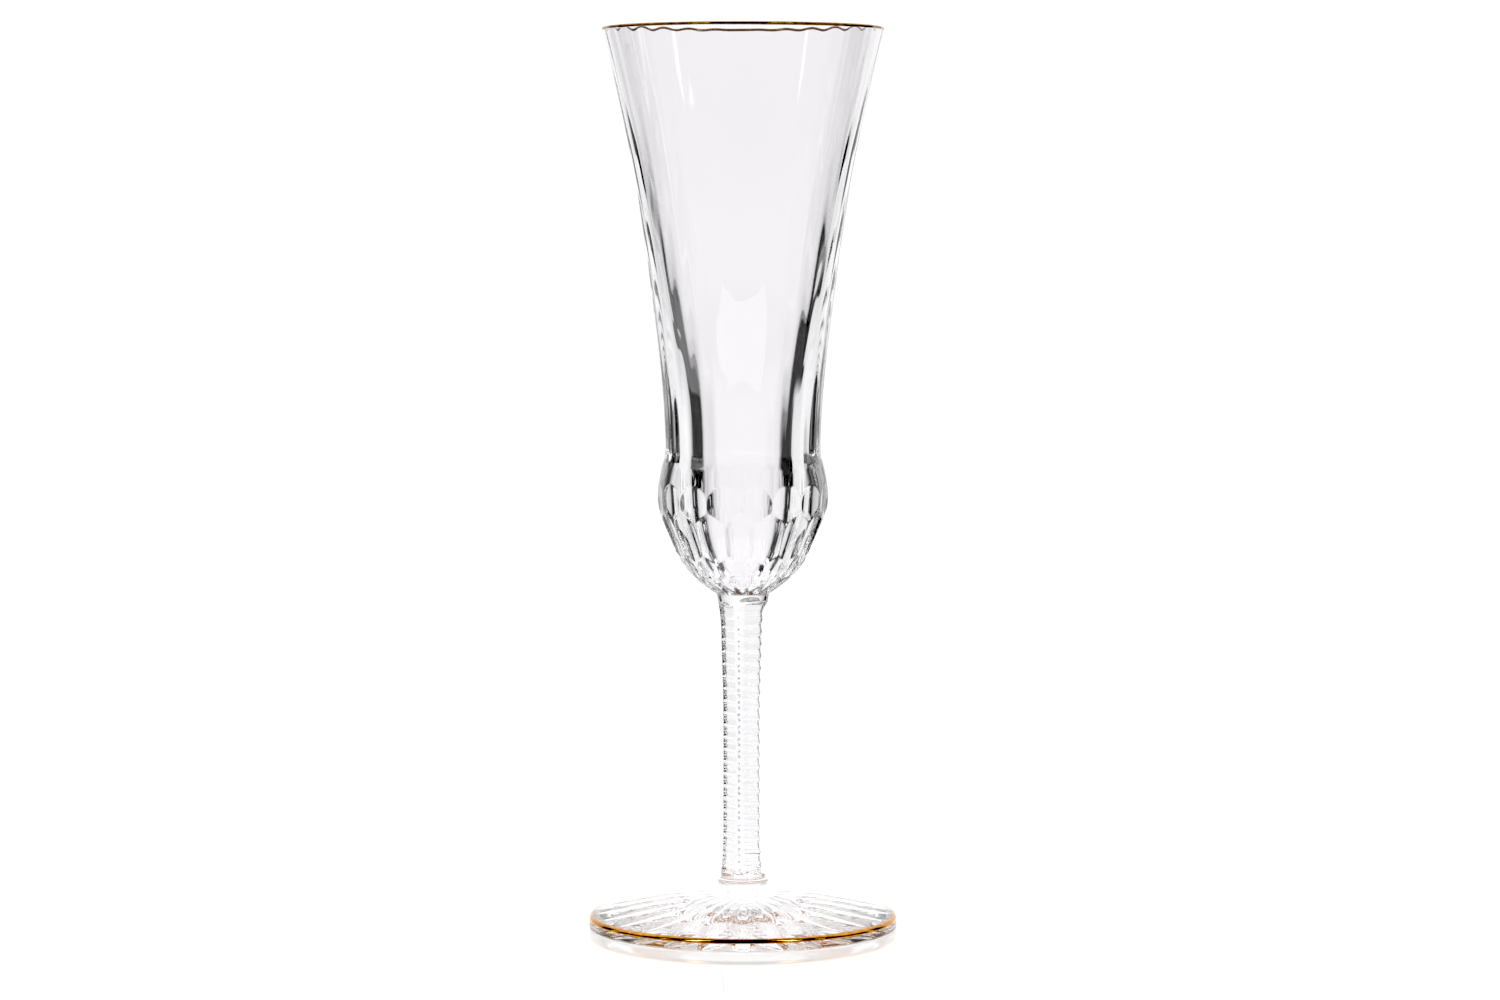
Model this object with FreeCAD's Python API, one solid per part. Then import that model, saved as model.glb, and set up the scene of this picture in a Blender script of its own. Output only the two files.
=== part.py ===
"""Champagne flute of heavy cut crystal, in millimetres.

The stem stands along +Z. The origin is the centre of the circle that the foot rests on.
From the table up, the foot, stem collar, stem and bowl are four pieces of glass that meet on
flat discs where they are hot-joined. Two fired gold lines lie flush in the corner of the foot
and around the lip.
"""

import FreeCAD
import Part

import math
import os

UP = FreeCAD.Vector(0, 0, 1)
CENTRE = FreeCAD.Vector(0, 0, 0)

# Heights of the joints between the pieces of glass
HEIGHT = 215.0
BOWL_BASE = 80.2
STEM_BASE = 12.3
COLLAR_BASE = 10.6

# Foot: a shallow cone with a thick edge, hollowed slightly beneath
FOOT_RADIUS = 36.95
FOOT_EDGE = 3.1
FOOT_CORNER = 1.15
FOOT_SLOPE = 13.0
FOOT_BEVEL = 0.3
FOOT_NECK_RADIUS = 5.9
FOOT_REST_INNER = 34.9
FOOT_HOLLOW = 0.8

# Rays cut side by side under the foot with a wheel that has a rounded edge
RAYS = 24
RAY_MIDDLE = 19.3
RAY_HALF_LENGTH = 15.2
RAY_DEPTH = 0.5
RAY_EDGE = 9.0
RAY_HALF_WIDTH = 4.4

# Collar ring between the foot and the stem
COLLAR_RADIUS = 6.1
COLLAR_SHOULDER = 5.5

# Stem blank, as radius and height, from the collar to the bowl
STEM_OUTLINE = (
    (5.35, 12.3),
    (5.0, 16.0),
    (4.76, 24.0),
    (4.72, 40.0),
    (4.8, 56.0),
    (5.12, 68.0),
    (5.45, 75.0),
    (6.3, BOWL_BASE),
)

# Scales on the stem, in columns; the stagger is the step up between columns, in pitches
SCALE_COLUMNS = 5
SCALE_STAGGER = 2.0 / 5.0
SCALE_PITCH = 2.95
SCALE_FIRST = 13.7
SCALE_ROWS = 22
SCALE_WHEEL = 3.0
SCALE_DEPTH = 0.9

# Bulb at the bottom of the bowl, as radius and height, from the stem up to the waist
BULB = (
    (6.3, BOWL_BASE),
    (8.0, 81.3),
    (12.6, 85.2),
    (15.9, 90.0),
    (18.0, 94.8),
    (19.75, 99.3),
    (20.35, 103.6),
    (19.9, 108.0),
    (19.0, 112.0),
)

# Ridges of the fluted wall, as radius and height; it flares below the waist to run the
# flutes out on the shoulder of the bulb
WALL_RIDGE = (
    (22.4, 106.5),
    (19.7, 110.0),
    (18.7, 113.4),
    (18.6, 118.0),
    (19.0, 126.0),
    (21.6, 150.0),
    (24.95, 174.0),
    (29.6, 198.0),
    (33.6, HEIGHT),
)
FLUTES = 32
FLUTE_DEPTH_SHARE = 0.003
WALL_BLANK_SPARE = 0.5

# Drinking space, as radius and height, from the lip to the bottom of the well
CUP_FLARE = ((32.2, HEIGHT), (27.6, 198.0), (21.4, 174.0), (16.0, 150.0), (10.7, 127.0))
CUP_WELL = ((10.7, 127.0), (9.8, 116.0), (9.6, 102.0), (7.4, 91.8), (4.3, 86.9), (0.0, 84.4))

# Rows of ovals on the bulb: height, radius, lean of the wall from upright in degrees,
# depth, radius of the cutting wheel, radius of its edge, turn in oval pitches
OVALS = 16
OVAL_ROWS = (
    (102.6, 20.3, 4.0, 0.6, 150.0, 32.0, 0.0),
    (93.3, 17.4, 22.5, 0.56, 120.0, 24.0, 0.5),
    (87.0, 14.1, 36.0, 0.42, 100.0, 20.0, 0.0),
    (82.2, 9.3, 53.0, 0.3, 60.0, 8.0, 0.5),
)
OVAL_WHEEL_HALF_WIDTH = 4.5

# Turn of the finished bowl on its stem
BOWL_TURN = 9.0

# Gold lines
GOLD_THICK = 0.12
RIM_GOLD_HEIGHT = 0.85


def at(radius, height):
    """Point of an outline in the XZ half-plane."""
    return FreeCAD.Vector(radius, 0, height)


def line(start, end):
    return Part.makeLine(at(*start), at(*end))


def smooth(points):
    """Smooth curve through the outline points."""
    curve = Part.BSplineCurve()
    curve.interpolate([at(*p) for p in points])
    return curve.toShape()


def turned(edges):
    """Solid of revolution about the stem axis from the edges of a closed outline."""
    face = Part.Face(Part.Wire(Part.__sortEdges__(edges)))
    return face.revolve(CENTRE, UP, 360)


def turned_curve(curve, closing_points):
    """Solid of revolution from a chain of curves that is closed by straight lines."""
    edges = list(curve)
    for start, end in zip(closing_points, closing_points[1:]):
        edges.append(line(start, end))
    return turned(edges)


def cutting_wheel(radius, edge_radius, half_width):
    """Grinding wheel about the Y axis through the origin, with a rounded edge."""
    drop = edge_radius - math.sqrt(edge_radius**2 - half_width**2)
    side = radius - drop
    low = FreeCAD.Vector(side, -half_width, 0)
    high = FreeCAD.Vector(side, half_width, 0)
    edge = Part.Arc(low, FreeCAD.Vector(radius, 0, 0), high).toShape()
    corners = [high, FreeCAD.Vector(0, half_width, 0), FreeCAD.Vector(0, -half_width, 0), low]
    sides = Part.makePolygon(corners).Edges
    outline = Part.Wire(Part.__sortEdges__([edge] + sides))
    return Part.Face(outline).revolve(CENTRE, FreeCAD.Vector(0, 1, 0), 360)


def offer_up(cutter, wheel_radius, radius, height, lean, depth, turn):
    """Move a wheel so that it bites `depth` into a wall that leans outwards going up."""
    tilt = math.radians(lean)
    reach = wheel_radius - depth
    cutter = cutter.copy()
    cutter.translate(
        FreeCAD.Vector(radius + reach * math.cos(tilt), 0, height - reach * math.sin(tilt))
    )
    cutter.rotate(CENTRE, UP, turn)
    return cutter


def foot_corner(inset):
    """Ends and arc of the upper corner of the foot's edge, set in from its surface."""
    radius = FOOT_CORNER - inset
    points = []
    for turn in (0.0, 45.0, 90.0 - FOOT_SLOPE):
        angle = math.radians(turn)
        across = FOOT_RADIUS - FOOT_CORNER + radius * math.cos(angle)
        points.append((across, FOOT_EDGE - FOOT_CORNER + radius * math.sin(angle)))
    arc = Part.Arc(*[at(*p) for p in points]).toShape()
    return points[0], points[2], arc


def foot_blank():
    """Foot before its rays are cut: flat ring to stand on, shallow hollow inside it."""
    side_top, top_edge, corner = foot_corner(0)
    edges = [
        corner,
        smooth((top_edge, (21.0, 6.7), (12.0, 9.0), (FOOT_NECK_RADIUS, COLLAR_BASE))),
        line((FOOT_NECK_RADIUS, COLLAR_BASE), (0, COLLAR_BASE)),
        line((0, COLLAR_BASE), (0, FOOT_HOLLOW)),
        line((0, FOOT_HOLLOW), (FOOT_REST_INNER, 0)),
        line((FOOT_REST_INNER, 0), (FOOT_RADIUS - FOOT_BEVEL, 0)),
        line((FOOT_RADIUS - FOOT_BEVEL, 0), (FOOT_RADIUS, FOOT_BEVEL)),
        line((FOOT_RADIUS, FOOT_BEVEL), side_top),
    ]
    return turned(edges)


def ray_cutter():
    """One ray: the bite of a large wheel with a rounded edge, running out at both ends.

    The wheel leans with the shallow cone of the hollow, so that the bite is even.
    """
    wheel_radius = (RAY_HALF_LENGTH**2 + RAY_DEPTH**2) / (2 * RAY_DEPTH)
    wheel = cutting_wheel(wheel_radius, RAY_EDGE, RAY_HALF_WIDTH)
    reach = RAY_HALF_LENGTH + 0.5
    width = 2 * RAY_HALF_WIDTH + 2
    near = FreeCAD.Vector(-reach, -width / 2, wheel_radius - 3)
    tooth = wheel.common(Part.makeBox(2 * reach, width, 4, near))
    tooth.translate(FreeCAD.Vector(0, 0, RAY_DEPTH - wheel_radius))
    lean = math.degrees(math.atan2(FOOT_HOLLOW, FOOT_REST_INNER))
    tooth.rotate(CENTRE, FreeCAD.Vector(0, 1, 0), lean)
    hollow_here = FOOT_HOLLOW * (1 - RAY_MIDDLE / FOOT_REST_INNER)
    tooth.translate(FreeCAD.Vector(RAY_MIDDLE, 0, hollow_here))
    return tooth


def make_foot(gold):
    foot = foot_blank()
    cutter = ray_cutter()
    for index in range(RAYS):
        ray = cutter.copy()
        ray.rotate(CENTRE, UP, 360.0 * index / RAYS)
        foot = foot.cut(ray)
    return foot.cut(gold)


def make_foot_gold():
    """Gold line wrapped over the upper corner of the foot's edge."""
    outer_low, outer_high, outer_arc = foot_corner(0)
    inner_low, inner_high, inner_arc = foot_corner(GOLD_THICK)
    edges = [outer_arc, line(outer_high, inner_high), inner_arc, line(inner_low, outer_low)]
    return turned(edges)


def make_collar():
    """Thin rounded ring of glass between foot and stem, with a waist above it."""
    bottom = (FOOT_NECK_RADIUS, COLLAR_BASE)
    belly = (COLLAR_RADIUS, COLLAR_BASE + 0.55)
    shoulder = (COLLAR_SHOULDER, COLLAR_BASE + 1.15)
    top = (STEM_OUTLINE[0][0], STEM_BASE)
    edges = [
        Part.Arc(at(*bottom), at(*belly), at(*shoulder)).toShape(),
        line(shoulder, top),
        line(top, (0, STEM_BASE)),
        line((0, STEM_BASE), (0, COLLAR_BASE)),
        line((0, COLLAR_BASE), bottom),
    ]
    return turned(edges)


def stem_radius(height):
    """Radius of the stem blank at a height, between the outline points."""
    for (r_low, z_low), (r_high, z_high) in zip(STEM_OUTLINE, STEM_OUTLINE[1:]):
        if height <= z_high:
            share = (height - z_low) / (z_high - z_low)
            return r_low + share * (r_high - r_low)
    return STEM_OUTLINE[-1][0]


def make_stem():
    """Stem covered with scales, cut column by column, every other scale at a time."""
    side = smooth(STEM_OUTLINE)
    stem = turned_curve([side], (STEM_OUTLINE[-1], (0, BOWL_BASE), (0, STEM_BASE), STEM_OUTLINE[0]))
    wheel = Part.makeCylinder(SCALE_WHEEL, 12, FreeCAD.Vector(0, -6, 0), FreeCAD.Vector(0, 1, 0))
    for column in range(SCALE_COLUMNS):
        turn = column * 360.0 / SCALE_COLUMNS
        for first in (0, 1):
            cutters = []
            for row in range(first, SCALE_ROWS, 2):
                height = SCALE_FIRST + (row + column * SCALE_STAGGER % 1) * SCALE_PITCH
                radius = stem_radius(height)
                rise = stem_radius(height + 1) - stem_radius(height - 1)
                lean = math.degrees(math.atan2(rise, 2))
                cutter = offer_up(wheel, SCALE_WHEEL, radius, height, lean, SCALE_DEPTH, turn)
                cutters.append(cutter)
            stem = stem.cut(cutters)
    return stem


def fluted_ring(ridge_radius, height):
    """Closed outline of almost flat panels that meet in ridges."""
    arcs = []
    step = 2 * math.pi / FLUTES
    middle_radius = ridge_radius * (1 - FLUTE_DEPTH_SHARE)
    for index in range(FLUTES):
        turns = [step * (index + share) for share in (0.0, 0.5, 1.0)]
        radii = (ridge_radius, middle_radius, ridge_radius)
        points = [
            FreeCAD.Vector(r * math.cos(a), r * math.sin(a), height) for r, a in zip(radii, turns)
        ]
        arcs.append(Part.Arc(*points).toShape())
    return Part.Wire(arcs)


def fluted_wall(inset=0.0):
    """Solid inside the fluted outside of the bowl, set in from its surface."""
    rings = [fluted_ring(r - inset, z) for r, z in WALL_RIDGE]
    return Part.makeLoft(rings, True)


def bowl_blank():
    """Bulb as turned, with spare glass above the waist for the flutes to be cut from."""
    spare = [(r + WALL_BLANK_SPARE, z) for r, z in WALL_RIDGE[3:]]
    corners = [BULB[-1]] + spare + [(0, HEIGHT), (0, BOWL_BASE), BULB[0]]
    return turned_curve([smooth(BULB)], corners)


def make_bowl_outside():
    """Bowl before it is hollowed: fluted above the waist, rows of ovals on the bulb."""
    flared_foot = WALL_RIDGE[0][1]
    below = Part.makeCylinder(30, flared_foot - BOWL_BASE + 5, at(0, BOWL_BASE - 5), UP)
    outside = bowl_blank().common(fluted_wall().fuse(below))
    step = 360.0 / OVALS
    for height, radius, lean, depth, wheel_radius, edge_radius, turn in OVAL_ROWS:
        half_width = min(OVAL_WHEEL_HALF_WIDTH, edge_radius * 0.9)
        wheel = cutting_wheel(wheel_radius, edge_radius, half_width)
        cutters = []
        for index in range(OVALS):
            angle = (index + turn) * step
            cutters.append(offer_up(wheel, wheel_radius, radius, height, lean, depth, angle))
        outside = outside.cut(cutters)
    return outside


def make_cup():
    """The space inside the bowl."""
    flare = smooth(CUP_FLARE)
    well = smooth(CUP_WELL)
    return turned_curve([flare, well], (CUP_WELL[-1], (0, HEIGHT), CUP_FLARE[0]))


def make_rim_gold(cup):
    """Gold line over the lip and down its outside."""
    band = Part.makeCylinder(60, RIM_GOLD_HEIGHT, at(0, HEIGHT - RIM_GOLD_HEIGHT), UP)
    core_top = Part.makeCylinder(60, HEIGHT - GOLD_THICK - BOWL_BASE, at(0, BOWL_BASE), UP)
    core = fluted_wall(GOLD_THICK).common(core_top)
    return fluted_wall().common(band).cut(core).cut(cup)


def write(name, shape):
    shape.exportStep("parts/" + name + ".step")


def main():
    os.makedirs("parts", exist_ok=True)
    cup = make_cup()
    rim_gold = make_rim_gold(cup)
    foot_gold = make_foot_gold()
    bowl = make_bowl_outside().cut(cup).cut(rim_gold)
    for shape in (bowl, rim_gold):
        shape.rotate(CENTRE, UP, BOWL_TURN)
    write("bowl", bowl)
    write("rim_gilding", rim_gold)
    write("stem", make_stem())
    write("stem_collar", make_collar())
    write("foot", make_foot(foot_gold))
    write("foot_gilding", foot_gold)


main()
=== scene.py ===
import math

import bpy
import numpy as np
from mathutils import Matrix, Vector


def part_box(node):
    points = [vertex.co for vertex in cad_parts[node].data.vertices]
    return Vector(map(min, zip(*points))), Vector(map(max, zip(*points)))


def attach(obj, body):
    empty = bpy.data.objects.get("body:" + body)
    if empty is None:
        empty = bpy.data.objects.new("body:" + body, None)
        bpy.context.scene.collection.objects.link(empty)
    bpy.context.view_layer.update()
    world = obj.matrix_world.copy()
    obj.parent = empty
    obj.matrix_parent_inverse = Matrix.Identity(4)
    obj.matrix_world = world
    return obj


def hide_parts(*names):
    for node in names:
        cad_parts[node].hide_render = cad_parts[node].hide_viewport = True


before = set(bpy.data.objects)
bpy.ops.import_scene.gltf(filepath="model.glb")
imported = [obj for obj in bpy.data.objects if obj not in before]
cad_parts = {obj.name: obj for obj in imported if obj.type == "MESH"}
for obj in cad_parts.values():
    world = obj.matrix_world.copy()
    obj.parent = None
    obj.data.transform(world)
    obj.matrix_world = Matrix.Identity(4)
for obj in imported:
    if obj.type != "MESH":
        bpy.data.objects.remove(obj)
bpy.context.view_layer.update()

MM = 0.001

# Heights and radii that come from the CAD frame, in millimetres
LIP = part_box("bowl")[1][2] / MM
BOWL_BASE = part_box("stem")[1][2] / MM
STEM_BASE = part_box("stem")[0][2] / MM
COLLAR_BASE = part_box("stem_collar")[0][2] / MM
FOOT_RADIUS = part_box("foot")[1][0] / MM
RIM_GOLD_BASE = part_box("rim_gilding")[0][2] / MM
FOOT_GOLD_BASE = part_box("foot_gilding")[0][2] / MM

# Bowl, as radius and height
BULB = (
    (6.3, BOWL_BASE),
    (8.0, 81.3),
    (12.6, 85.2),
    (15.9, 90.0),
    (18.0, 94.8),
    (19.75, 99.3),
    (20.35, 103.6),
    (19.9, 108.0),
    (19.0, 112.0),
)
WALL_RIDGE = (
    (22.4, 106.5),
    (19.7, 110.0),
    (18.7, 113.4),
    (18.6, 118.0),
    (19.0, 126.0),
    (21.6, 150.0),
    (24.95, 174.0),
    (29.6, 198.0),
    (33.6, LIP),
)
CUP = (
    (32.2, LIP),
    (27.6, 198.0),
    (21.4, 174.0),
    (16.0, 150.0),
    (10.7, 127.0),
    (9.8, 116.0),
    (9.6, 102.0),
    (7.4, 91.8),
    (4.3, 86.9),
    (0.0, 84.4),
)
FLUTES = 32
FLUTE_DEPTH_SHARE = 0.003
BOWL_TURN = math.radians(9.0)
LIP_ROUND = 0.45
LIP_BASE = LIP - LIP_ROUND
# A ring this far under the rounding keeps the shading of the lip off the wall and the cup
LIP_CREASE = 0.12
LIP_STEPS = 15
# The wall cuts into the bulb above this height
WALL_START = 106.6
# The rings of the wall lie closer together up to this height, where its outline bends more
WALL_BEND_TOP = 118.0
WALL_BEND_RINGS = 20
WALL_STRAIGHT_RINGS = 49
WALL_RING_GAP = 0.6
OVALS = 16
OVAL_COLUMNS = 40
FLUTE_COLUMNS = OVAL_COLUMNS * OVALS // FLUTES
# Height, radius, lean in degrees, depth, wheel radius, wheel edge radius, turn in pitches
OVAL_ROWS = (
    (102.6, 20.3, 4.0, 0.6, 150.0, 32.0, 0.0),
    (93.3, 17.4, 22.5, 0.56, 120.0, 24.0, 0.5),
    (87.0, 14.1, 36.0, 0.42, 100.0, 20.0, 0.0),
    (82.2, 9.3, 53.0, 0.3, 60.0, 8.0, 0.5),
)
# Steps that settle the bite of a wheel, and the share of the wheel's width that can bite
WHEEL_STEPS = 6
WHEEL_WIDTH_SHARE = 0.95

# Stem, as radius and height
STEM = (
    (5.35, STEM_BASE),
    (5.0, 16.0),
    (4.76, 24.0),
    (4.72, 40.0),
    (4.8, 56.0),
    (5.12, 68.0),
    (5.45, 75.0),
    (6.3, BOWL_BASE),
)
SCALE_COLUMNS = 5
SCALE_STAGGER = 2.0 / 5.0
SCALE_PITCH = 2.95
SCALE_FIRST = 13.7
SCALE_ROWS = 22
SCALE_WHEEL = 3.0
SCALE_DEPTH = 0.9
STEM_RINGS = 401
STEM_COLUMNS = 224

# Foot
FOOT_EDGE = 3.1
FOOT_CORNER = 1.15
FOOT_SLOPE = 13.0
FOOT_BEVEL = 0.3
FOOT_NECK = 5.9
FOOT_CONE = ((21.0, 6.7), (12.0, 9.0))
FOOT_REST_INNER = 34.9
FOOT_HOLLOW = 0.8
FOOT_HUB = 0.5
RAYS = 24
RAY_MIDDLE = 19.3
RAY_HALF_LENGTH = 15.2
RAY_DEPTH = 0.5
RAY_EDGE = 9.0
RAY_RINGS = 73
RAY_COLUMNS = 32

# Gold lines, which stand this far proud of the glass
GOLD_PROUD = 0.03
FOOT_GOLD_COLUMNS = 480

# How far the cuts round over where they meet
OVAL_SOFTNESS = 0.02
SCALE_SOFTNESS = 0.09
RAY_SOFTNESS = 0.01


def smooth_curve(points, spacing):
    """Points spaced evenly along a natural cubic spline through the given ones."""
    knots = np.array(points, float)
    steps = np.linalg.norm(np.diff(knots, axis=0), axis=1)
    along = np.concatenate(([0.0], np.cumsum(steps)))
    count = len(knots)
    matrix = np.eye(count)
    right = np.zeros_like(knots)
    for i in range(1, count - 1):
        before, after = steps[i - 1], steps[i]
        matrix[i, i - 1 : i + 2] = before, 2 * (before + after), after
        slopes = (knots[i + 1] - knots[i]) / after - (knots[i] - knots[i - 1]) / before
        right[i] = 6 * slopes
    bend = np.linalg.solve(matrix, right)
    at = np.linspace(0, along[-1], max(3, round(along[-1] / spacing) + 1))
    low = np.clip(np.searchsorted(along, at, side="right") - 1, 0, count - 2)
    width = steps[low][:, None]
    s = ((at - along[low]) / steps[low])[:, None]
    t = 1 - s
    curve = t * knots[low] + s * knots[low + 1]
    curve += width**2 / 6 * ((t**3 - t) * bend[low] + (s**3 - s) * bend[low + 1])
    return curve


def radius_at(points, heights):
    """Radius of an outline at each height, for an outline that only ever rises or falls."""
    curve = smooth_curve(points, spacing=0.05)
    order = np.argsort(curve[:, 1])
    return np.interp(heights, curve[order, 1], curve[order, 0])


def soft_max(values, softness):
    """Largest of the arrays, rounded over where two are equal."""
    top = np.max(values, axis=0)
    return top + softness * np.log(sum(np.exp((v - top) / softness) for v in values))


def cylinder_points(radius, angle, height):
    radius, angle, height = np.broadcast_arrays(radius, angle, height)
    return np.stack((radius * np.cos(angle), radius * np.sin(angle), height), axis=-1)


def make_piece(name, rings, materials, caps=(), loop=False):
    """Mesh of rings of points, outermost axis along the outline and the next around the stem.

    caps lists (ring, point on the axis, material index). With loop, the last ring joins the
    first.
    """
    rows, columns = rings.shape[:2]
    index = np.arange(rows * columns).reshape(rows, columns)
    upper = np.roll(index, -1, axis=0) if loop else index[1:]
    lower = index if loop else index[:-1]
    ahead_low, ahead_up = np.roll(lower, -1, axis=1), np.roll(upper, -1, axis=1)
    quads = np.stack((lower, ahead_low, ahead_up, upper), axis=-1).reshape(-1, 4)
    vertices = rings.reshape(-1, 3).tolist()
    faces = quads.tolist()
    slots = [0] * len(faces)
    for ring, centre, slot in caps:
        edge = index[ring]
        vertices.append(list(centre))
        hub = len(vertices) - 1
        for a, b in zip(edge, np.roll(edge, -1)):
            faces.append((int(b), int(a), hub) if ring == 0 else (int(a), int(b), hub))
            slots.append(slot)
    mesh = bpy.data.meshes.new(name)
    mesh.from_pydata((np.array(vertices) * MM).tolist(), [], faces)
    mesh.polygons.foreach_set("material_index", slots)
    mesh.shade_smooth()
    for material in materials:
        mesh.materials.append(material)
    mesh.validate()
    piece = bpy.data.objects.new(name, mesh)
    bpy.context.scene.collection.objects.link(piece)
    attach(piece, "root")
    return piece


# Materials


def new_material(name):
    material = bpy.data.materials.new(name)
    material.use_nodes = True
    nodes = material.node_tree.nodes
    return material, nodes, material.node_tree.links, nodes["Principled BSDF"]


def noise(nodes, links, scale, detail, roughness=0.5):
    """Noise in the object's own coordinates; scale is in repeats per metre."""
    place = nodes.new("ShaderNodeTexCoord")
    texture = nodes.new("ShaderNodeTexNoise")
    texture.inputs["Scale"].default_value = scale
    texture.inputs["Detail"].default_value = detail
    texture.inputs["Roughness"].default_value = roughness
    links.new(place.outputs["Object"], texture.inputs["Vector"])
    return texture.outputs["Fac"]


def spread(nodes, links, source, between, onto):
    """Source mapped from the first pair of values onto the second, and held at its ends."""
    node = nodes.new("ShaderNodeMapRange")
    node.inputs["From Min"].default_value = between[0]
    node.inputs["From Max"].default_value = between[1]
    node.inputs["To Min"].default_value = onto[0]
    node.inputs["To Max"].default_value = onto[1]
    links.new(source, node.inputs["Value"])
    return node.outputs["Result"]


def bump(nodes, links, height, distance, strength):
    node = nodes.new("ShaderNodeBump")
    node.inputs["Distance"].default_value = distance
    node.inputs["Strength"].default_value = strength
    links.new(height, node.inputs["Height"])
    return node.outputs["Normal"]


def math_node(tree, operation, *values):
    node = tree.nodes.new("ShaderNodeMath")
    node.operation = operation
    for socket, value in zip(node.inputs, values):
        if isinstance(value, (int, float)):
            socket.default_value = value
        else:
            tree.links.new(value, socket)
    return node.outputs[0]


def window(tree, value, low, high, soft):
    """1 while value is between low and high, fading to 0 over the distance soft at either end."""
    result = []
    for edge, sign in ((low, 1), (high, -1)):
        node = tree.nodes.new("ShaderNodeMapRange")
        node.interpolation_type = "SMOOTHSTEP"
        node.inputs["From Min"].default_value = edge - soft * (sign > 0)
        node.inputs["From Max"].default_value = edge + soft * (sign < 0)
        node.inputs["To Min"].default_value = 0.0 if sign > 0 else 1.0
        node.inputs["To Max"].default_value = 1.0 if sign > 0 else 0.0
        tree.links.new(value, node.inputs["Value"])
        result.append(node.outputs["Result"])
    return math_node(tree, "MULTIPLY", *result)


def crystal():
    """Polished lead crystal, with the faint waviness that acid polishing leaves."""
    material, nodes, links, shader = new_material("crystal")
    shader.inputs["Base Color"].default_value = (0.985, 0.975, 0.99, 1)
    shader.inputs["Transmission Weight"].default_value = 1.0
    shader.inputs["IOR"].default_value = 1.545
    haze = noise(nodes, links, scale=900.0, detail=4.0, roughness=0.6)
    polish = spread(nodes, links, haze, between=(0.45, 0.8), onto=(0.0, 0.004))
    links.new(polish, shader.inputs["Roughness"])
    waves = noise(nodes, links, scale=110.0, detail=1.0)
    links.new(bump(nodes, links, waves, distance=0.00002, strength=0.2), shader.inputs["Normal"])
    return material


def joined():
    """The face where two pieces of glass are fused, which has no surface of its own."""
    material = bpy.data.materials.new("fused_joint")
    material.use_nodes = True
    nodes, links = material.node_tree.nodes, material.node_tree.links
    nodes.clear()
    clear = nodes.new("ShaderNodeBsdfTransparent")
    output = nodes.new("ShaderNodeOutputMaterial")
    links.new(clear.outputs["BSDF"], output.inputs["Surface"])
    return material


def fired_gold(name, dark, light):
    """Fired gold line: metal laid by brush, a little uneven in colour and in polish."""
    material, nodes, links, shader = new_material(name)
    shader.inputs["Metallic"].default_value = 1.0
    ramp = nodes.new("ShaderNodeValToRGB")
    ramp.color_ramp.elements[0].position = 0.35
    ramp.color_ramp.elements[0].color = (*dark, 1)
    ramp.color_ramp.elements[1].position = 0.65
    ramp.color_ramp.elements[1].color = (*light, 1)
    links.new(noise(nodes, links, scale=700.0, detail=3.0), ramp.inputs["Fac"])
    links.new(ramp.outputs["Color"], shader.inputs["Base Color"])
    streaks = noise(nodes, links, scale=2500.0, detail=4.0, roughness=0.65)
    polish = spread(nodes, links, streaks, between=(0.3, 0.7), onto=(0.07, 0.18))
    links.new(polish, shader.inputs["Roughness"])
    links.new(bump(nodes, links, streaks, distance=0.00002, strength=0.3), shader.inputs["Normal"])
    return material


# Bowl


def flute_radius(ridge, angle):
    """Radius at an angle in a wall of shallow soft flutes between rounded ridges."""
    return ridge * (1 - FLUTE_DEPTH_SHARE * (1 - np.cos(FLUTES * angle)) / 2)


def wheel_bite(points, inward, row, angle):
    """How far each point moves inward to clear one cutting wheel, below zero if it misses."""
    height, radius, lean, depth, wheel, edge, _ = row
    tilt = math.radians(lean)
    reach = radius + (wheel - depth) * math.cos(tilt)
    centre = cylinder_points(reach, angle, height - (wheel - depth) * math.sin(tilt))
    axis = np.array((-math.sin(angle), math.cos(angle), 0.0))
    bite = np.zeros(points.shape[:2])
    for _ in range(WHEEL_STEPS):
        offset = points + bite[..., None] * inward - centre
        across = offset @ axis
        out = np.linalg.norm(offset - across[..., None] * axis, axis=-1)
        side = np.sqrt(np.maximum(edge**2 - across**2, 0.01))
        bite += wheel - (edge - side) - out
    return np.where(np.abs(across) < WHEEL_WIDTH_SHARE * edge, bite, -1.0)


def bulb_rings(angles):
    """Bulb from the stem to the waist, with its rows of ovals, over one pitch of them."""
    curve = smooth_curve(BULB, spacing=0.25)
    slope = np.gradient(curve, axis=0)
    slope /= np.linalg.norm(slope, axis=1)[:, None]
    radius, height = curve[:, :1], curve[:, 1:]
    points = cylinder_points(radius, angles[None, :], height)
    inward = cylinder_points(-slope[:, 1:], angles[None, :], slope[:, :1])
    bites = [np.zeros(points.shape[:2])]
    for row in OVAL_ROWS:
        for step in (-1, 0, 1, 2):
            angle = (step + row[-1]) * 2 * math.pi / OVALS
            bites.append(wheel_bite(points, inward, row, angle))
    points += soft_max(bites, OVAL_SOFTNESS)[..., None] * inward
    wall = flute_radius(radius_at(WALL_RIDGE, points[..., 2]), angles[None, :])
    across = np.hypot(points[..., 0], points[..., 1])
    inner = -soft_max([-across, -wall], OVAL_SOFTNESS)
    kept = np.where(points[..., 2] > WALL_START, inner, across)
    points[..., :2] *= (kept / across)[..., None]
    return points


def wall_rings(angles, heights):
    """The fluted outside of the wall at the given heights."""
    heights = np.array(heights)[:, None]
    radius = flute_radius(radius_at(WALL_RIDGE, heights), angles[None, :])
    return cylinder_points(radius, angles[None, :], heights)


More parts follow.
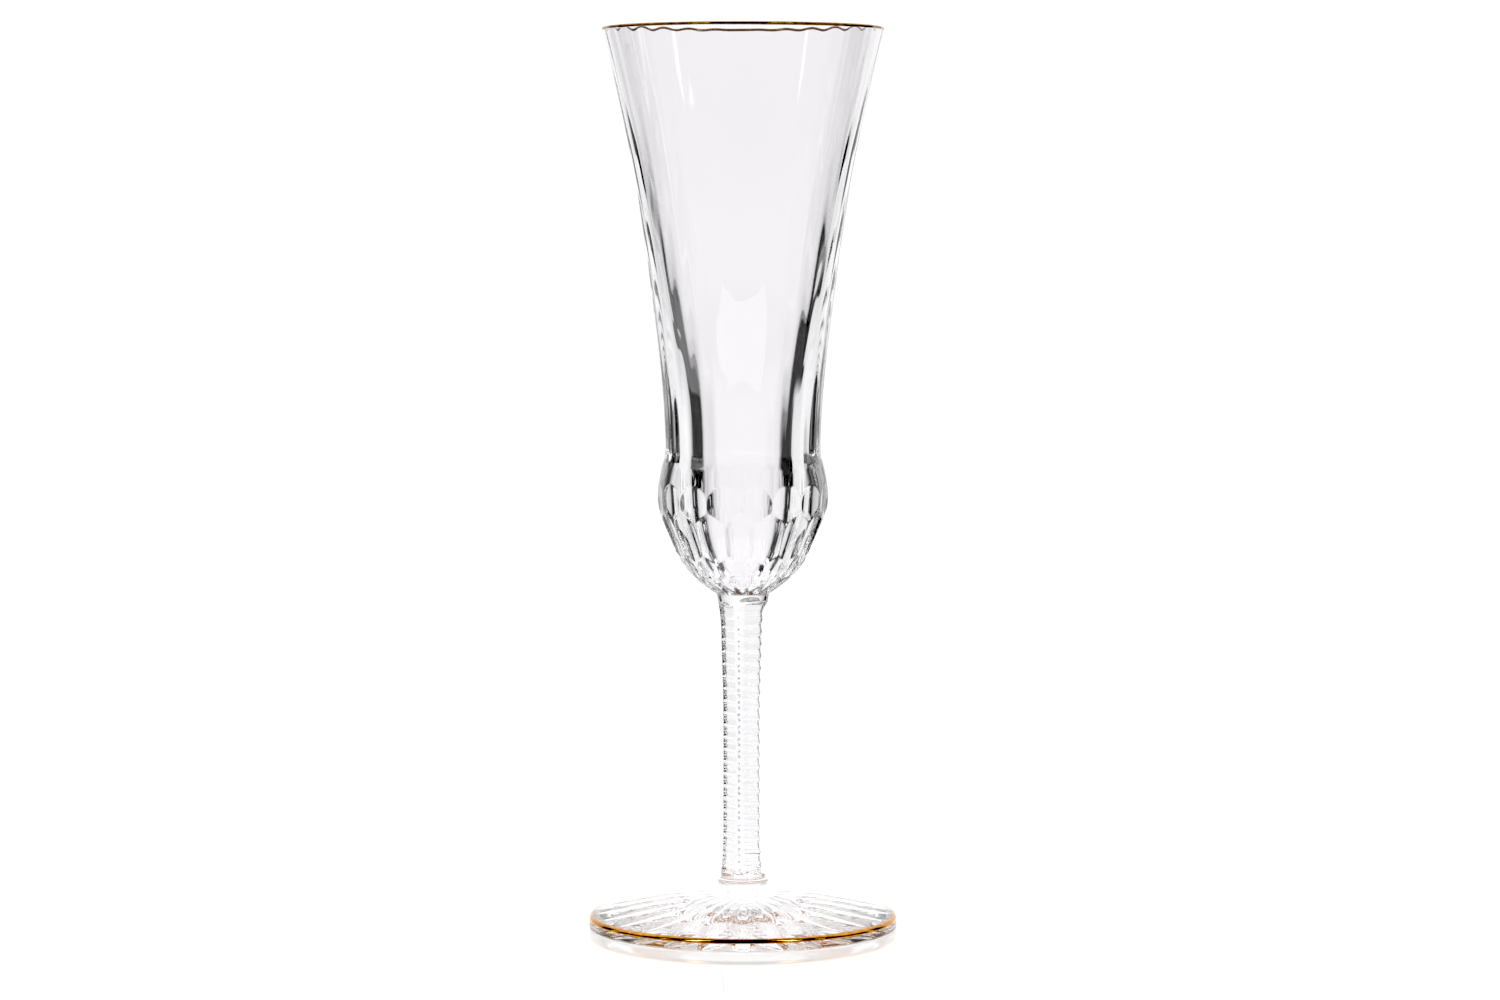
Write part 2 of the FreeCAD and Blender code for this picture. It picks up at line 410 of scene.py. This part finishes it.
def lip_rings(angles):
    """The rounded lip, from the outside over the top to the inside."""
    outer = flute_radius(radius_at(WALL_RIDGE, [LIP_BASE]), angles)
    inner = radius_at(CUP, [LIP_BASE])
    middle, half = (outer + inner) / 2, (outer - inner) / 2
    turn = np.linspace(0, math.pi, LIP_STEPS)[1:-1, None]
    return cylinder_points(
        middle + half * np.cos(turn), angles[None, :], LIP_BASE + LIP_ROUND * np.sin(turn)
    )


def cup_rings(angles):
    """The inside, from just under the lip down to the bottom of the well."""
    curve = smooth_curve(CUP, spacing=2.0)
    clear_of_lip = curve[:, 1] < LIP_BASE - 0.5
    curve = curve[clear_of_lip][:-1]
    start = np.array((LIP_BASE, LIP_BASE - LIP_CREASE))
    curve = np.concatenate((np.stack((radius_at(CUP, start), start), axis=1), curve))
    return cylinder_points(curve[:, :1], angles[None, :], curve[:, 1:])


def whole_turn(cell, count, start=0.0):
    """Rings of one pitch repeated all the way around."""
    parts = []
    for index in range(count):
        angle = start + index * 2 * math.pi / count
        cos, sin = math.cos(angle), math.sin(angle)
        turn = np.array(((cos, sin, 0), (-sin, cos, 0), (0, 0, 1)))
        parts.append(cell @ turn)
    return np.concatenate(parts, axis=1)


def pitch_angles(count, columns):
    """Angles of the columns in one pitch out of count."""
    return np.arange(columns) * 2 * math.pi / count / columns


def make_bowl(glass, fused):
    """Bulb, wall, lip and cup as one skin, from the stem over the lip to the bottom of the well."""
    angles = pitch_angles(OVALS, OVAL_COLUMNS)
    bulb = bulb_rings(angles)
    bulb_top = BULB[-1][1]
    bend = np.linspace(bulb_top + 0.2, WALL_BEND_TOP, WALL_BEND_RINGS)
    crease = LIP_BASE - LIP_CREASE
    straight = np.linspace(WALL_BEND_TOP + WALL_RING_GAP, crease, WALL_STRAIGHT_RINGS)
    wall = wall_rings(angles, (*bend, *straight, LIP_BASE))
    cell = np.concatenate((bulb, wall, lip_rings(angles), cup_rings(angles)))
    rings = whole_turn(cell, OVALS, BOWL_TURN)
    caps = ((0, (0, 0, BOWL_BASE), 1), (-1, (0, 0, CUP[-1][1]), 0))
    piece = make_piece("crystal_bowl", rings, (glass, fused), caps)
    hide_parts("bowl")


# Stem, collar and foot


def make_stem(glass, fused):
    """Scales cut by a small wheel, in columns that are each stepped up from the last."""
    heights = np.linspace(STEM_BASE, BOWL_BASE, STEM_RINGS)[:, None]
    angles = pitch_angles(1, STEM_COLUMNS)[None, :]
    blank = radius_at(STEM, heights)
    reach = SCALE_WHEEL - SCALE_DEPTH
    total = np.ones((len(heights), angles.size))
    for column in range(SCALE_COLUMNS):
        turn = angles - column * 2 * math.pi / SCALE_COLUMNS
        turn = np.mod(turn + math.pi, 2 * math.pi) - math.pi
        for row in range(SCALE_ROWS):
            height = SCALE_FIRST + (row + column * SCALE_STAGGER % 1) * SCALE_PITCH
            low, here, high = radius_at(STEM, [height - 1, height, height + 1])
            tilt = math.atan2(high - low, 2)
            drop = heights - (height - reach * math.sin(tilt))
            inside = np.sqrt(np.maximum(SCALE_WHEEL**2 - drop**2, 0))
            left = (here + reach * math.cos(tilt) - inside) / np.cos(np.clip(turn, -1, 1))
            cut = np.exp((blank - left) / SCALE_SOFTNESS)
            total += np.where(np.abs(drop) < SCALE_WHEEL, cut, 0)
    rings = cylinder_points(blank - SCALE_SOFTNESS * np.log(total), angles, heights)
    caps = ((0, (0, 0, STEM_BASE), 1), (-1, (0, 0, BOWL_BASE), 1))
    piece = make_piece("crystal_stem", rings, (glass, fused), caps)
    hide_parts("stem")


def make_collar(glass, fused):
    """Thin ring between the foot and the stem, wider at its lower edge."""
    outline = (
        (FOOT_NECK, COLLAR_BASE),
        (6.08, COLLAR_BASE + 0.25),
        (6.1, COLLAR_BASE + 0.6),
        (5.85, COLLAR_BASE + 0.95),
        (5.5, COLLAR_BASE + 1.15),
        (5.36, COLLAR_BASE + 1.4),
        (STEM[0][0], STEM_BASE),
    )
    curve = smooth_curve(outline, spacing=0.08)
    angles = pitch_angles(1, STEM_COLUMNS)[None, :]
    rings = cylinder_points(curve[:, :1], angles, curve[:, 1:])
    caps = ((0, (0, 0, COLLAR_BASE), 1), (-1, (0, 0, STEM_BASE), 1))
    piece = make_piece("crystal_collar", rings, (glass, fused), caps)
    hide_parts("stem_collar")


def corner_points(turns):
    """Points around the upper corner of the foot's edge, from the side to the top."""
    across = FOOT_RADIUS - FOOT_CORNER + FOOT_CORNER * np.cos(turns)
    return np.stack((across, FOOT_EDGE - FOOT_CORNER + FOOT_CORNER * np.sin(turns)), axis=1)


def foot_outline():
    """Outline of the foot from the rest ring out and up to the neck."""
    bevel_in = FOOT_RADIUS - FOOT_BEVEL
    turns = np.linspace(-math.pi / 2, 0, 7)
    lower = np.stack(
        (bevel_in + FOOT_BEVEL * np.cos(turns), FOOT_BEVEL + FOOT_BEVEL * np.sin(turns)), axis=1
    )
    heights = np.linspace(FOOT_BEVEL, FOOT_EDGE - FOOT_CORNER, 11)[1:-1]
    side = np.stack((np.full_like(heights, FOOT_RADIUS), heights), axis=1)
    corner = corner_points(np.linspace(0, math.radians(90 - FOOT_SLOPE), 13))
    cone = smooth_curve((corner[-1], *FOOT_CONE, (FOOT_NECK, COLLAR_BASE)), spacing=0.8)
    return np.concatenate((lower, side, corner, cone[1:]))


def make_foot(glass, fused):
    """Foot with rays side by side beneath, each the bite of a wheel with a rounded edge."""
    angles = pitch_angles(RAYS, RAY_COLUMNS)
    radius = np.linspace(FOOT_HUB, FOOT_REST_INNER, RAY_RINGS)[:, None]
    hollow = FOOT_HOLLOW * (1 - radius / FOOT_REST_INNER) + 0 * angles
    pitch = 2 * math.pi / RAYS
    turn = np.mod(angles + pitch / 2, pitch) - pitch / 2
    along = radius * np.cos(turn) - RAY_MIDDLE
    fall = RAY_EDGE - np.sqrt(RAY_EDGE**2 - (radius * np.sin(turn)) ** 2)
    depth = RAY_DEPTH * (1 - (along / RAY_HALF_LENGTH) ** 2) - fall
    under = cylinder_points(radius, angles, soft_max([hollow, hollow + depth], RAY_SOFTNESS))
    under[-1, :, 2] = 0
    outline = foot_outline()
    over = cylinder_points(outline[:, :1], angles, outline[:, 1:])
    rings = whole_turn(np.concatenate((under, over)), RAYS)
    caps = ((0, (0, 0, FOOT_HOLLOW), 0), (-1, (0, 0, COLLAR_BASE), 1))
    piece = make_piece("crystal_foot", rings, (glass, fused), caps)
    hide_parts("foot")


# Gold lines


def band_rings(patch, thick_out, thick_in):
    """Closed band that follows a patch of surface, thinned to nothing at both its edges."""
    along = np.gradient(patch, axis=0)
    around = np.roll(patch, -1, axis=1) - np.roll(patch, 1, axis=1)
    normal = np.cross(around, along)
    normal /= np.linalg.norm(normal, axis=-1)[..., None]
    share = np.linspace(-1, 1, len(patch))[:, None, None]
    swell = np.sqrt(np.clip(1 - share**4, 0.02, 1))
    outer = patch + normal * thick_out * swell
    inner = patch - normal * thick_in * swell
    return np.concatenate((outer, inner[::-1]))


def waver(angles, size, seed):
    """Slow unevenness of a line drawn by hand on a turning glass."""
    random = np.random.default_rng(seed)
    total = np.zeros_like(angles)
    for waves in (2, 3, 5, 8, 13, 21, 34):
        total += np.sin(waves * angles + random.uniform(0, 2 * math.pi)) / math.sqrt(waves)
    return size * total / 2


def make_foot_gold(gold):
    """Line around the upper corner of the foot's edge."""
    angles = pitch_angles(1, FOOT_GOLD_COLUMNS)
    low = math.asin((FOOT_GOLD_BASE - FOOT_EDGE + FOOT_CORNER) / FOOT_CORNER)
    start = low + waver(angles, size=0.05, seed=1)
    end = math.radians(90 - FOOT_SLOPE) + waver(angles, size=0.05, seed=2)
    share = np.linspace(0, 1, 14)[:, None]
    turns = start + share * (end - start)
    across = FOOT_RADIUS - FOOT_CORNER + FOOT_CORNER * np.cos(turns)
    patch = cylinder_points(across, angles, FOOT_EDGE - FOOT_CORNER + FOOT_CORNER * np.sin(turns))
    rings = band_rings(patch, GOLD_PROUD, thick_in=0.09)
    piece = make_piece("gold_line_foot", rings, (gold,), loop=True)
    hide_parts("foot_gilding")


def make_rim_gold(gold):
    """Line that starts just under the lip outside and runs over the top of it."""
    angles = pitch_angles(FLUTES, FLUTE_COLUMNS)
    low = wall_rings(angles, np.linspace(RIM_GOLD_BASE, LIP_BASE, 6))
    patch = whole_turn(np.concatenate((low, lip_rings(angles)[:-2])), FLUTES, BOWL_TURN)
    turn = np.arctan2(patch[0, :, 1], patch[0, :, 0])
    patch[0, :, 2] += waver(turn, size=0.06, seed=3)
    patch[1, :, 2] += waver(turn, size=0.03, seed=3)
    rings = band_rings(patch, GOLD_PROUD, thick_in=0.07)
    piece = make_piece("gold_line_rim", rings, (gold,), loop=True)
    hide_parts("rim_gilding")


# Studio

# Brightness of the room by direction in degrees, 0 straight ahead and positive to the right
ROOM = (
    (-180, 0.01),
    (-51, 0.01),
    (-46, 0.62),
    (-40, 0.72),
    (-30, 0.88),
    (-15, 1.06),
    (15, 1.06),
    (30, 0.95),
    (40, 0.82),
    (47, 0.72),
    (51, 0.06),
    (60, 0.01),
    (180, 0.01),
)
# Lights: where each one is by the turn from straight ahead to either side and by the rise, both
# as (low, high, softness) in degrees, and how bright it is
STRIP_LIGHTS = (
    ((134.0, 142.0, 1.0), (31.2, 60.0, 0.8), 6.0),
    ((113.0, 119.0, 1.0), (26.5, 30.3, 0.8), 4.0),
    ((66.0, 70.0, 1.0), (5.0, 45.0, 6.0), 1.2),
)
OVERHEAD = ((-1.0, 85.0, 12.0), (32.0, 66.0, 8.0), 1.0)
SURROUNDINGS = ((85.0, 180.0, 5.0), (-30.0, 4.0, 6.0), 0.5)
# On the left only, so by the direction that is negative there
TABLE_LIGHT = ((-80.0, -41.0, 2.0), (-90.0, -20.0, 2.0), 0.15)
# The room fades out towards straight up, and it reaches far below the horizon only ahead
ROOM_HEIGHT = (-90.0, 75.0, 15.0)
FAR_BELOW = (-90.0, -20.0, 6.0)
AHEAD = (-1.0, 41.0, 2.0)


def make_floor():
    """White table that glows a little all over, with painted light on it: a painted pool of light
    under the foot in place of the light that the glass gathers there, and painted glow rising
    towards its edges, where it fades into the white around it.
    """
    material, nodes, links, shader = new_material("white_table")
    shader.inputs["Base Color"].default_value = (0.93, 0.93, 0.935, 1)
    shader.inputs["Emission Color"].default_value = (1, 1, 1, 1)
    place = nodes.new("ShaderNodeTexCoord")
    distance = nodes.new("ShaderNodeVectorMath")
    distance.operation = "LENGTH"
    links.new(place.outputs["Object"], distance.inputs[0])
    away = distance.outputs["Value"]
    # Painted light: more emission under the foot, a painted pool of light standing in for the light
    # the glass gathers there.
    painted_light_under_foot = spread(nodes, links, away, between=(0.031, 0.037), onto=(0.31, 0.0))
    # Painted glow: emission that rises away from the glass towards the table's edges.
    outer = spread(nodes, links, away, between=(0.07, 0.13), onto=(0.41, 0.75))
    glow = math_node(material.node_tree, "ADD", painted_light_under_foot, outer)
    links.new(glow, shader.inputs["Emission Strength"])
    grain = noise(nodes, links, scale=900.0, detail=3.0)
    polish = spread(nodes, links, grain, between=(0.3, 0.7), onto=(0.05, 0.07))
    links.new(polish, shader.inputs["Roughness"])
    side, front, back, below = 0.14, -0.22, 0.1, -0.00005
    places = ((-side, front), (side, front), (side, back), (-side, back))
    corners = [(x, y, below) for x, y in places]
    mesh = bpy.data.meshes.new("table")
    mesh.from_pydata(corners, [], [(0, 1, 2, 3)])
    mesh.materials.append(material)
    floor = bpy.data.objects.new("table", mesh)
    bpy.context.scene.collection.objects.link(floor)


def patch_of_light(tree, across, rise, light):
    """Brightness of one light, which fills a window in direction and one in rise."""
    window_across, window_up, power = light
    inside = math_node(
        tree, "MULTIPLY", window(tree, across, *window_across), window(tree, rise, *window_up)
    )
    return math_node(tree, "MULTIPLY", inside, power)


def make_world():
    """Bright backdrop ahead, dim room around and strip lights, and plain white to the camera."""
    world = bpy.data.worlds.new("studio")
    bpy.context.scene.world = world
    world.use_nodes = True
    tree = world.node_tree
    place = tree.nodes.new("ShaderNodeTexCoord")
    split = tree.nodes.new("ShaderNodeSeparateXYZ")
    tree.links.new(place.outputs["Generated"], split.inputs[0])
    rise = math_node(tree, "ARCSINE", split.outputs["Z"])
    rise = math_node(tree, "MULTIPLY", rise, 180 / math.pi)
    aim = math_node(tree, "ARCTAN2", split.outputs["X"], split.outputs["Y"])
    aim = math_node(tree, "MULTIPLY", aim, 180 / math.pi)
    turn = math_node(tree, "ABSOLUTE", aim)
    ramp = tree.nodes.new("ShaderNodeValToRGB")
    tree.links.new(math_node(tree, "MULTIPLY_ADD", aim, 1 / 360, 0.5), ramp.inputs["Fac"])
    stops = ramp.color_ramp.elements
    for at, _ in ROOM[1:-1]:
        stops.new(at / 360 + 0.5)
    for stop, (_, value) in zip(stops, ROOM):
        stop.color = (value, value, value, 1)
    height = window(tree, rise, *ROOM_HEIGHT)
    total = math_node(tree, "MULTIPLY", ramp.outputs["Color"], height)
    not_ahead = math_node(tree, "SUBTRACT", 1.0, window(tree, turn, *AHEAD))
    hidden = math_node(tree, "MULTIPLY", not_ahead, window(tree, rise, *FAR_BELOW))
    total = math_node(tree, "MULTIPLY", total, math_node(tree, "SUBTRACT", 1.0, hidden))
    for light in STRIP_LIGHTS:
        total = math_node(tree, "ADD", patch_of_light(tree, turn, rise, light), total)
    for across, light in ((aim, TABLE_LIGHT), (turn, OVERHEAD), (turn, SURROUNDINGS)):
        total = math_node(tree, "MAXIMUM", total, patch_of_light(tree, across, rise, light))
    path = tree.nodes.new("ShaderNodeLightPath")
    shown = math_node(tree, "MAXIMUM", total, path.outputs["Is Camera Ray"])
    background = tree.nodes["Background"]
    tree.links.new(shown, background.inputs["Strength"])
    background.inputs["Color"].default_value = (1, 1, 1, 1)


def make_camera():
    """Camera about 1 m in front of the glass, a little lower than the lip and looking down."""
    distance, height, tilt = 1.003, 0.174, math.radians(4.075)
    camera = bpy.data.objects.new("camera", bpy.data.cameras.new("camera"))
    bpy.context.scene.collection.objects.link(camera)
    camera.data.lens = 101.05
    camera.data.sensor_width = 36.0
    camera.data.clip_start = 0.01
    aside = 0.0017
    camera.location = (aside, -distance, height)
    camera.rotation_euler = (math.pi / 2 - tilt, 0, 0)
    bpy.context.scene.camera = camera


def set_look():
    """Plain view with slightly deepened blacks, and enough bounces for thick cut glass."""
    scene = bpy.context.scene
    scene.view_settings.view_transform = "Standard"
    scene.view_settings.use_curve_mapping = True
    scene.view_settings.curve_mapping.black_level = (0.04, 0.04, 0.04)
    scene.view_settings.curve_mapping.update()
    scene.cycles.max_bounces = 40
    scene.cycles.transmission_bounces = 32
    scene.cycles.glossy_bounces = 16
    scene.cycles.transparent_max_bounces = 32
    scene.cycles.sample_clamp_indirect = 8.0


glass, fused = crystal(), joined()
make_bowl(glass, fused)
make_stem(glass, fused)
make_collar(glass, fused)
make_foot(glass, fused)
bright_gold = fired_gold("fired_gold_bright", dark=(0.62, 0.27, 0.06), light=(0.86, 0.44, 0.12))
# The rim's gold is a darker copy of the same gold: painted shade, standing in for the dark room
# that the rim reflects.
shaded_rim_gold = fired_gold("fired_gold_painted_shade", dark=(0.2, 0.09, 0.025), light=(0.42, 0.2, 0.055))
make_foot_gold(bright_gold)
make_rim_gold(shaded_rim_gold)
make_floor()
make_world()
make_camera()
set_look()
